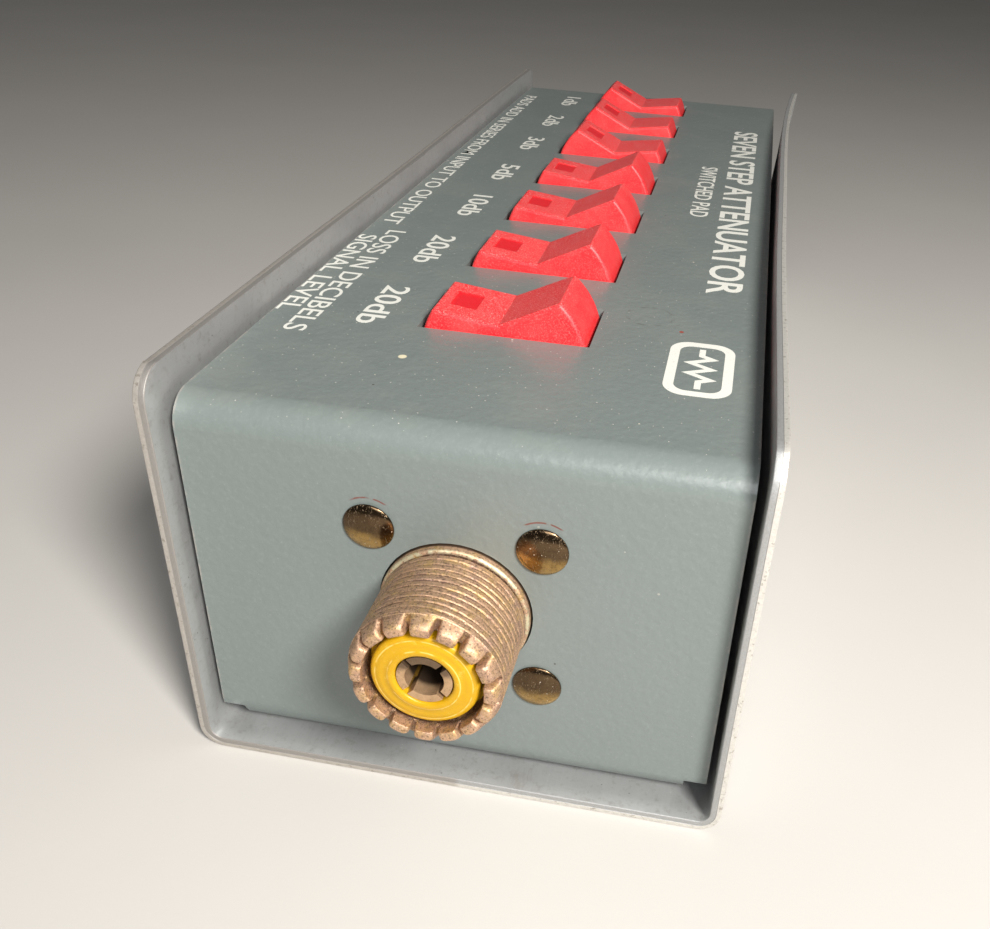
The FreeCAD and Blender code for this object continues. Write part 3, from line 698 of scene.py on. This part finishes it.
def cover_end(depth, side):
    """Half length of the sheet at a depth below a wall's top."""
    half = COVER_HIGH.y
    if side < 0 and depth < LEFT_ROUND:
        return half - LEFT_ROUND + math.sqrt(LEFT_ROUND ** 2 - (LEFT_ROUND - depth) ** 2)
    if side > 0 and depth < RIGHT_CLIP:
        return half - RIGHT_CLIP + depth
    return half


def bent_in_use(point):
    """The right wall leans out towards its far top corner, and both walls wave slightly."""
    height = max(0.0, min(1.0, point.z / COVER_HIGH.z))
    if point.x > COVER_HIGH.x - 2 * SHEET:
        far = max(0.0, (point.y - FLARE_FROM) / (COVER_HIGH.y - FLARE_FROM))
        point.x += FLARE * far ** 2.2 * height ** 1.6
        point.x += 0.14 * math.sin(point.y / 17 + 0.6) * height ** 2
    elif point.x < -COVER_HIGH.x + 2 * SHEET:
        point.x += 0.16 * math.sin(point.y / 21 + 1.9) * height ** 2
    return point


def build_cover():
    path = cover_profile()
    across = 96
    solid = Solid()
    grids = []
    for side in (1, -1):
        rows = []
        for x, z, nx, nz, depth, wall in path:
            end = cover_end(depth, wall) - CUT_ROUND
            row = []
            for j in range(across + 1):
                y = end * (2 * j / across - 1)
                row.append(Vector((x + nx * side * SHEET / 2, y, z + nz * side * SHEET / 2)))
            rows.append(row)
        # The sheet's surfaces stop one edge rounding short of the cut all round.
        for rim in (0, -1):
            rows[rim] = [p + Vector((0, 0, -CUT_ROUND)) for p in rows[rim]]
        grids.append(rows)
        solid.strip([[bent_in_use(p.copy()) for p in row] for row in rows], flip=side < 0)
    border = [(0, j) for j in range(across)]
    border += [(i, across) for i in range(len(path) - 1)]
    border += [(len(path) - 1, j) for j in range(across, 0, -1)]
    border += [(i, 0) for i in range(len(path) - 1, 0, -1)]
    outer, inner = grids
    count = len(border)
    mids = [(outer[i][j] + inner[i][j]) / 2 for i, j in border]
    sides = [(outer[i][j] - inner[i][j]).normalized() for i, j in border]
    outs = []
    for k in range(count):
        along = (mids[(k + 1) % count] - mids[k - 1]).normalized()
        outs.append(sides[k].cross(along).normalized())
    if outs[across // 2].z < 0:
        outs = [-out for out in outs]
    half = SHEET / 2
    corner = [(half - CUT_ROUND * (1 - math.cos(TAU / 4 * k / 3)),
               CUT_ROUND * math.sin(TAU / 4 * k / 3)) for k in range(4)]
    bright = corner[3:] + [(0.06, CUT_ROUND)]
    torn = [(0.03, CUT_ROUND - 0.05), (-half + CUT_ROUND, CUT_ROUND - 0.02)]
    back = [(-a, max(0.0, b - 0.02)) for a, b in reversed(corner)]
    for look, band in ((1, corner), (1, bright), (2, [bright[-1]] + torn), (2, [torn[-1]] + back)):
        rows = []
        for offset, reach in band:
            row = [bent_in_use(mids[k] + sides[k] * offset + outs[k] * reach)
                   for k in range(count)]
            rows.append(row)
        solid.strip(rows, look=look, closed=True)
    piece = solid.piece("bottom_cover_sheet", [MATERIALS["cover_metal"], CUT_BRIGHT, CUT_TORN],
                        "enclosure", "cover_metal", ["bottom_cover"], sharp=50)
    cut_screw_holes(piece)
    return piece


def cut_screw_holes(piece):
    """Four countersunk holes in the floor, where the CAD model has them."""
    low, high = box_mm("cover_screws")
    cutter = bmesh.new()
    for x in (low.x + SCREW_INSET, high.x - SCREW_INSET):
        for y in (low.y + SCREW_INSET, high.y - SCREW_INSET):
            place = Matrix.Translation(Vector((x, y, SHEET / 2)) * MM)
            bmesh.ops.create_cone(cutter, cap_ends=True, segments=40, depth=(SHEET + 0.6) * MM,
                                  radius1=(SCREW_HEAD + 0.31) * MM, radius2=SCREW_SHANK * MM,
                                  matrix=place)
    mesh = bpy.data.meshes.new("cutter")
    cutter.to_mesh(mesh)
    cutter.free()
    tool = bpy.data.objects.new("cutter", mesh)
    bpy.context.scene.collection.objects.link(tool)
    modifier = piece.modifiers.new("holes", "BOOLEAN")
    modifier.operation = "DIFFERENCE"
    modifier.solver = "EXACT"
    modifier.object = tool
    bpy.context.view_layer.update()
    graph = bpy.context.evaluated_depsgraph_get()
    cut = bpy.data.meshes.new_from_object(piece.evaluated_get(graph))
    piece.modifiers.clear()
    piece.data = cut
    bpy.data.objects.remove(tool)


# ---- Chassis --------------------------------------------------------------------------


def build_chassis():
    bm = cad_copy("chassis")
    soften(bm, 0.22, steps=3)
    mesh = to_mesh(bm, "chassis_painted", [MATERIALS["chassis_paint"]])
    return finish_piece("chassis_painted", mesh, "enclosure", ["chassis"], 30, True)


# ---- Rockers --------------------------------------------------------------------------


def build_rocker(section):
    node = "rocker_" + section
    joint = next(j for j in frame["joints"] if j["name"] == node + "_tilt")
    pivot = Vector(joint["pos_m"])
    raised = SECTIONS.index(section) < RAISED_AT_PLUS_X
    level = Matrix.Rotation(math.radians(ROCKER_TILT if raised else -ROCKER_TILT), 3, "Y")
    bm = cad_copy(node)
    soften(bm, 0.12, steps=2)
    for face in bm.faces:
        centre = level @ (face.calc_center_median() - pivot) / MM
        normal = level @ face.normal
        in_mark = abs(centre.x - MARK_X) < MARK_HALF_X and abs(centre.y) < MARK_HALF_Y
        below_slope = centre.z < VALLEY_Z + TOP_SLOPE * abs(centre.x) - 0.10
        face.material_index = 1 if in_mark and normal.z > 0.8 and below_slope else 0
    mesh = to_mesh(bm, node + "_moulding", [MATERIALS["rocker_plastic"], THUMB_RED])
    return finish_piece(node + "_moulding", mesh, node, [node], 28, True)


# ---- Sockets --------------------------------------------------------------------------


def smooth_step(x):
    x = max(0.0, min(1.0, x))
    return x * x * (3 - 2 * x)


def thread_radius(axial, turn):
    """Outside radius of the worn thread at an axial length and a share of a turn."""
    angle = TAU * turn
    place = Vector((math.cos(angle), math.sin(angle), axial * 0.35))
    drift = 0.16 * noise.noise(place * 1.7)
    wear = 0.62 + 0.75 * noise.noise(place * 2.6 + Vector((5, 3, 1)))
    phase = ((axial - THREAD_START) / THREAD_PITCH - turn + drift) % 1.0
    flank = abs(2 * phase - 1)            # 1 at the root, 0 at the crest
    root = smooth_step((flank - 0.52) / 0.46)
    fade = smooth_step((axial - THREAD_START) / 0.5) * smooth_step((THREAD_END - axial) / 0.15)
    chafe = 0.06 * max(0.0, noise.noise(place * 9.0))
    return THREAD_RADIUS - 0.03 - chafe - THREAD_DEPTH * wear * root * fade


def tooth_columns():
    """Angles round the mouth, with each tooth's drop and how far it is rounded in."""
    pitch = 360 / TOOTH_COUNT
    shape = [(0, 0, 0), (4.0, 0.0, 0.03), (6.2, 0.02, 0.09), (7.4, 0.06, 0.18), (8.1, 0.14, 0.28),
             (8.5, 0.28, 0.35), (8.8, 0.60, 0.37), (9.15, 1.0, 0.34), (9.7, TOOTH_DEPTH, 0.26)]
    half = [(-a, d, r) for a, d, r in reversed(shape[1:])] + shape
    half.append((pitch / 2, TOOTH_DEPTH + 0.04, 0.20))
    columns = []
    for tooth in range(TOOTH_COUNT):
        for angle, drop, tuck in half:
            columns.append((math.radians(angle + pitch * tooth), drop, tuck))
    return columns


def build_shell(end, outward):
    """Collar, worn helical thread and a ring of rounded teeth, with the flange behind."""
    rng = random.Random(7 if outward < 0 else 8)
    columns = tooth_columns()
    chips = [rng.uniform(-0.07, 0.05) for _ in range(TOOTH_COUNT)]
    rows = []

    def ring(axial, radius):
        row = []
        for k, (angle, drop, tuck) in enumerate(columns):
            chip = chips[k * TOOTH_COUNT // len(columns)]
            a = axial(angle, drop, chip) if callable(axial) else axial
            r = radius(a, angle, tuck) if callable(radius) else radius
            row.append(Vector((r * math.cos(angle), outward * (PANEL_Y + a),
                               SOCKET_Z + r * math.sin(angle))))
        rows.append(row)

    ring(SHELL_BACK, BORE_RADIUS)
    ring(SHELL_BACK, COLLAR_RADIUS)
    ring(0.0, COLLAR_RADIUS)
    for k in range(5):
        turn = TAU / 4 * k / 4
        ring(COLLAR_END - COLLAR_ROUND + COLLAR_ROUND * math.sin(turn),
             COLLAR_RADIUS - COLLAR_ROUND * (1 - math.cos(turn)))
    ring(COLLAR_END + 0.05, THREAD_RADIUS - THREAD_RELIEF)
    ring(THREAD_START - 0.15, THREAD_RADIUS - THREAD_RELIEF)
    ring(THREAD_START - 0.02, THREAD_RADIUS - 0.12)
    steps = round((THREAD_END - THREAD_START) / THREAD_PITCH * 13)
    for k in range(steps + 1):
        axial = THREAD_START + (THREAD_END - THREAD_START) * k / steps
        ring(axial, lambda a, angle, tuck: thread_radius(a, outward * angle / TAU))
    base = THREAD_END + 0.06
    for share in (0.0, 0.25, 0.5, 0.72, 0.86, 0.95, 1.0):
        shrink = TOOTH_TAPER * share + TOOTH_EDGE * max(0.0, (share - 0.72) / 0.28) ** 2.6
        ring(lambda angle, drop, chip, s=share: base + (TIP + chip - drop - base) * s,
             lambda a, angle, tuck, s=share, c=shrink: TOOTH_RADIUS - tuck * s - c)
    rim = TOOTH_RADIUS - TOOTH_TAPER - TOOTH_EDGE
    for inward, dip in ((0.12, -0.02), (0.55, 0.0), (0.90, 0.02), (1.0, 0.10)):
        ring(lambda angle, drop, chip, d=dip: TIP + chip - drop - d,
             lambda a, angle, tuck, s=inward: (rim - tuck) * (1 - s) + BORE_RADIUS * s)
    ring(TIP - TOOTH_DEPTH - 0.35, BORE_RADIUS)
    ring(TIP - 4, BORE_RADIUS)
    ring(SHELL_BACK, BORE_RADIUS)
    solid = Solid()
    solid.strip(rows, closed=True)
    flange = cad_copy(end + "_socket_shell")
    cut = Vector((0, outward * (PANEL_Y - 1.0) * MM, 0))
    geometry = flange.verts[:] + flange.edges[:] + flange.faces[:]
    bmesh.ops.bisect_plane(flange, geom=geometry, plane_co=cut, plane_no=(0, outward, 0),
                           clear_outer=True)
    base = len(solid.points)
    flange.verts.index_update()
    solid.points.extend(v.co / MM for v in flange.verts)
    for face in flange.faces:
        solid.faces.append(tuple(base + v.index for v in face.verts))
        solid.looks.append(0)
    flange.free()
    return solid.piece(end + "_socket_barrel", [MATERIALS["socket_metal"]], "enclosure",
                       "socket_metal", [end + "_socket_shell"], sharp=42)


def build_insulator(end, outward):
    low, high = box_mm(end + "_socket_insulator")
    rear = (low.y if outward > 0 else -high.y) - PANEL_Y
    face = INSULATOR_FACE
    hole = INSULATOR_HOLE
    rim = INSULATOR_RADIUS
    profile = [(rear, 2.5), (rear, rim - 0.3), (rear + 0.3, rim), (face - 2.5, rim)]
    for k in range(7):
        turn = TAU / 4 * k / 6
        profile.append((face - 0.62 + 0.55 * math.sin(turn), rim - 0.55 * (1 - math.cos(turn))))
    profile += [(face - 0.06, rim - 0.72), (face - 0.015, rim - 0.80), (face - 0.01, 4.3),
                (face - 0.02, 3.72), (face + 0.025, 3.66), (face + 0.03, 3.52)]
    for k in range(6):
        turn = TAU / 4 * k / 5
        profile.append((face - 0.34 + 0.36 * math.cos(turn), hole + 0.42 * (1 - math.sin(turn))))
    profile += [(face - 2.6, hole), (face - 2.6, 2.5), (rear, 2.5)]
    solid = Solid()
    centre = Vector((0, outward * PANEL_Y, SOCKET_Z))
    solid.lathe(profile, centre, outward, turns=96)
    solid.lathe([(-2.0, rim - 0.05), (-2.0, BORE_RADIUS - 0.03), (face - 2.5, BORE_RADIUS - 0.03),
                 (face - 2.5, rim - 0.05)], centre, outward, turns=96)
    return solid.piece(end + "_socket_resin", [MATERIALS["socket_insulator"]], "enclosure",
                       "socket_insulator", [end + "_socket_insulator"], sharp=60)


def build_contact(end):
    bm = cad_copy(end + "_socket_contact")
    soften(bm, 0.1, steps=2)
    mesh = to_mesh(bm, end + "_socket_leaves", [MATERIALS["socket_contact_metal"]])
    return finish_piece(end + "_socket_leaves", mesh, "enclosure",
                        [end + "_socket_contact"], 35, True)


def build_rivets(end, outward):
    """Four flat-domed heads with a rolled rim, on shanks that end in set tails."""
    low, high = box_mm(end + "_socket_rivets")
    rear = (low.y if outward > 0 else -high.y) - PANEL_Y
    profile = [(rear, 0.001), (rear, RIVET_TAIL - 0.2), (rear + 0.2, RIVET_TAIL),
               (rear + 0.8, RIVET_TAIL), (rear + 0.8, RIVET_SHANK), (0.03, RIVET_SHANK),
               (0.03, RIVET_RADIUS - 0.06), (0.10, RIVET_RADIUS),
               (0.20, RIVET_RADIUS - 0.01), (0.27, RIVET_RADIUS - 0.06)]
    for k in range(1, 13):
        share = 1 - k / 12
        radius = (RIVET_RADIUS - 0.06) * share
        rise = (1 - share ** 2.3) ** 0.92
        profile.append((0.27 + (RIVET_HEIGHT - 0.27) * rise, max(radius, 0.001)))
    solid = Solid()
    rng = random.Random(11 if outward < 0 else 12)
    for x in (-RIVET_HALF_PITCH, RIVET_HALF_PITCH):
        for z in (-RIVET_HALF_PITCH, RIVET_HALF_PITCH):
            centre = Vector((x, outward * PANEL_Y, SOCKET_Z + z))
            start = len(solid.points)
            solid.lathe(profile, centre, outward, turns=64)
            tilt = Matrix.Rotation(rng.uniform(-0.02, 0.02), 3, "X")
            tilt = tilt @ Matrix.Rotation(rng.uniform(-0.02, 0.02), 3, "Z")
            for k in range(start, len(solid.points)):
                solid.points[k] = centre + tilt @ (solid.points[k] - centre)
    return solid.piece(end + "_socket_rivet_heads", [MATERIALS["rivet_metal"]], "enclosure",
                       "rivet_metal", [end + "_socket_rivets"], sharp=50)


# ---- Legends --------------------------------------------------------------------------
# Generic words only. They read from the -X side: letters run towards -Y, tops towards +X.

INK_GAP = 0.01
INK_DEPTH = 0.015


def put_flat(name, mesh):
    piece = finish_piece(name, mesh, "enclosure", (), 30)
    mesh.materials.clear()
    mesh.materials.append(INK)
    return piece


def legend(name, words, x_low, x_high, y_start, y_end, weight):
    """Words printed between two X values, running from one Y to a lower one."""
    curve = bpy.data.curves.new(name, "FONT")
    curve.body = words
    curve.size = 1.0
    curve.offset = weight
    curve.resolution_u = 4
    source = bpy.data.objects.new(name + "_line", curve)
    bpy.context.scene.collection.objects.link(source)
    bpy.context.view_layer.update()
    graph = bpy.context.evaluated_depsgraph_get()
    mesh = bpy.data.meshes.new_from_object(source.evaluated_get(graph))
    bpy.data.objects.remove(source)
    bm = bmesh.new()
    bm.from_mesh(mesh)
    bmesh.ops.remove_doubles(bm, verts=bm.verts, dist=1e-5)
    lows = [min(v.co[k] for v in bm.verts) for k in (0, 1)]
    highs = [max(v.co[k] for v in bm.verts) for k in (0, 1)]
    for v in bm.verts:
        along = (v.co.x - lows[0]) / (highs[0] - lows[0])
        tall = (v.co.y - lows[1]) / (highs[1] - lows[1])
        v.co = Vector((x_low + (x_high - x_low) * tall, y_start + (y_end - y_start) * along,
                       TOP_Z + INK_GAP)) * MM
    thicken(bm)
    bm.to_mesh(mesh)
    bm.free()
    return put_flat(name, mesh)


def thicken(bm):
    """Turn a flat shape into a thin closed one, its print side up."""
    bmesh.ops.recalc_face_normals(bm, faces=bm.faces)
    made = bmesh.ops.extrude_face_region(bm, geom=bm.faces[:])
    raised = [g for g in made["geom"] if isinstance(g, bmesh.types.BMVert)]
    bmesh.ops.translate(bm, verts=raised, vec=(0, 0, INK_DEPTH * MM))
    bmesh.ops.recalc_face_normals(bm, faces=bm.faces)


def rounded_box(half_x, half_y, corner, steps=8):
    points = []
    for quarter, (sx, sy) in enumerate(((1, 1), (-1, 1), (-1, -1), (1, -1))):
        for k in range(steps + 1):
            turn = TAU / 4 * (quarter + k / steps)
            points.append((sx * (half_x - corner) + corner * math.cos(turn),
                           sy * (half_y - corner) + corner * math.sin(turn)))
    return points


def build_symbol():
    """A plain resistor symbol in a rounded frame."""
    centre_x, centre_y = 22.1, -64.4
    bm = bmesh.new()
    level = TOP_Z + INK_GAP
    loops = []
    for inset in (0.0, 1.15):
        outline = rounded_box(3.75 - inset, 7.0 - inset, 2.4 - 0.8 * inset)
        loops.append([bm.verts.new(Vector((centre_x + x, centre_y + y, level)) * MM)
                      for x, y in outline])
    count = len(loops[0])
    for k in range(count):
        n = (k + 1) % count
        bm.faces.new((loops[0][k], loops[0][n], loops[1][n], loops[1][k]))
    line = [(0, -5.2), (0, -3.4), (1.25, -2.7), (-1.25, -1.35), (1.25, 0), (-1.25, 1.35),
            (1.25, 2.7), (0, 3.4), (0, 5.2)]
    half = 0.36
    sides = []
    for k, (x, y) in enumerate(line):
        before = Vector(line[max(k - 1, 0)])
        after = Vector(line[min(k + 1, len(line) - 1)])
        ways = [w.normalized() for w in (Vector((x, y)) - before, after - Vector((x, y))) if w.length]
        along = sum(ways, Vector((0, 0))).normalized()
        across = Vector((-along.y, along.x)) * half / max(0.5, along.dot(ways[0]))
        sides.append([bm.verts.new(Vector((centre_x + x + s * across.x, centre_y + y + s * across.y,
                                           level)) * MM) for s in (1, -1)])
    for (a, b), (c, d) in zip(sides, sides[1:]):
        bm.faces.new((a, b, d, c))
    thicken(bm)
    mesh = bpy.data.meshes.new("legend_symbol")
    bm.to_mesh(mesh)
    bm.free()
    return put_flat("legend_symbol", mesh)


def build_legends():
    legend("legend_title", "SEVEN STEP ATTENUATOR", 21.1, 26.0, 56, -40.8, 0.016)
    legend("legend_line", "SWITCHED PAD", 16.3, 19.3, 24, -7.5, 0.006)
    labels = (("20db_outer", "20db", -50.8, -63.1), ("20db_inner", "20db", -29.8, -41.4),
              ("10db", "10db", -8.3, -19.5), ("5db", "5db", 12.0, 1.8), ("3db", "3db", 34, 24),
              ("2db", "2db", 55, 45), ("1db", "1db", 76, 66.5))
    for section, words, start, stop in labels:
        legend("legend_" + section, words, -18.9, -15.6, start, stop, 0.010)
    legend("legend_inner", "LOSS IN DECIBELS", -25.9, -23.2, -30, -67.3, 0.003)
    legend("legend_outer", "SIGNAL LEVEL", -29.0, -26.4, -33, -62, 0.003)
    legend("legend_long", "PADS ADD IN SERIES FROM INPUT TO OUTPUT", -28.1, -25.5, 73, -27, 0.002)
    build_symbol()


# ---- Everything else keeps its CAD shape ----------------------------------------------


def dress_cad_nodes():
    slots = {part["node"]: part["material_slot"] for part in frame["record"]["subparts"]}
    for node, obj in frame["nodes"].items():
        obj.data.materials.clear()
        obj.data.materials.append(MATERIALS[slots[node]])


# ---- Floor, light, camera -------------------------------------------------------------


def build_floor():
    bm = bmesh.new()
    bmesh.ops.create_grid(bm, x_segments=2, y_segments=2, size=3.0)
    mesh = bpy.data.meshes.new("studio_floor")
    bm.to_mesh(mesh)
    bm.free()
    s = Shader("floor_pale", roughness=0.62, specular=0.3)
    s.set(Base_Color=s.mix(s.noise(60, 3, 0.5), (0.52, 0.50, 0.47), (0.57, 0.55, 0.52)))
    s.set(Roughness=s.spread(s.noise(4, 3, 0.5), 0.55, 0.7))
    s.bump(s.noise(0.8, 3, 0.5), 0.01)
    mesh.materials.append(s.material)
    floor = bpy.data.objects.new("studio_floor", mesh)
    floor.location.z = -0.00005
    bpy.context.scene.collection.objects.link(floor)


def add_light(name, place, aim, size, power, colour):
    data = bpy.data.lights.new(name, "AREA")
    data.shape = "DISK"
    data.size = size
    data.energy = power
    data.color = colour
    light = bpy.data.objects.new(name, data)
    light.location = place
    light.rotation_euler = (Vector(aim) - Vector(place)).to_track_quat("-Z", "Y").to_euler()
    bpy.context.scene.collection.objects.link(light)


def build_lights():
    add_light("key", (0.20, -0.315, 0.30), (0.0, -0.06, 0.02), 0.11, 3.3, (1.0, 0.97, 0.93))
    add_light("front", (0.05, -0.34, 0.235), (0.0, -0.08, 0.03), 0.14, 0.36, (0.97, 0.98, 1.0))
    add_light("fill", (-0.45, -0.30, 0.55), (0.0, 0.0, 0.02), 0.5, 0.12, (0.93, 0.96, 1.0))
    world = bpy.data.worlds.new("studio")
    world.use_nodes = True
    background = world.node_tree.nodes["Background"]
    background.inputs["Color"].default_value = (0.86, 0.85, 0.83, 1)
    background.inputs["Strength"].default_value = 0.11
    bpy.context.scene.world = world


def build_camera():
    data = bpy.data.cameras.new("camera")
    data.sensor_width = 36
    data.lens = 36.218
    data.shift_x = -0.08627
    data.shift_y = 0.01710
    data.clip_start = 0.005
    camera = bpy.data.objects.new("camera", data)
    camera.location = Vector((23.669, -166.480, 93.329)) * MM
    camera.rotation_euler = [math.radians(angle) for angle in (58.0006, -3.0835, 9.8503)]
    bpy.context.scene.collection.objects.link(camera)
    bpy.context.scene.camera = camera


def main():
    dress_cad_nodes()
    build_cover()
    build_chassis()
    for section in SECTIONS:
        build_rocker(section)
    for end, outward in (("input", -1), ("output", 1)):
        build_shell(end, outward)
        build_insulator(end, outward)
        build_contact(end)
        build_rivets(end, outward)
    build_legends()
    build_floor()
    build_lights()
    build_camera()
    bpy.context.scene.view_settings.view_transform = "Standard"


main()
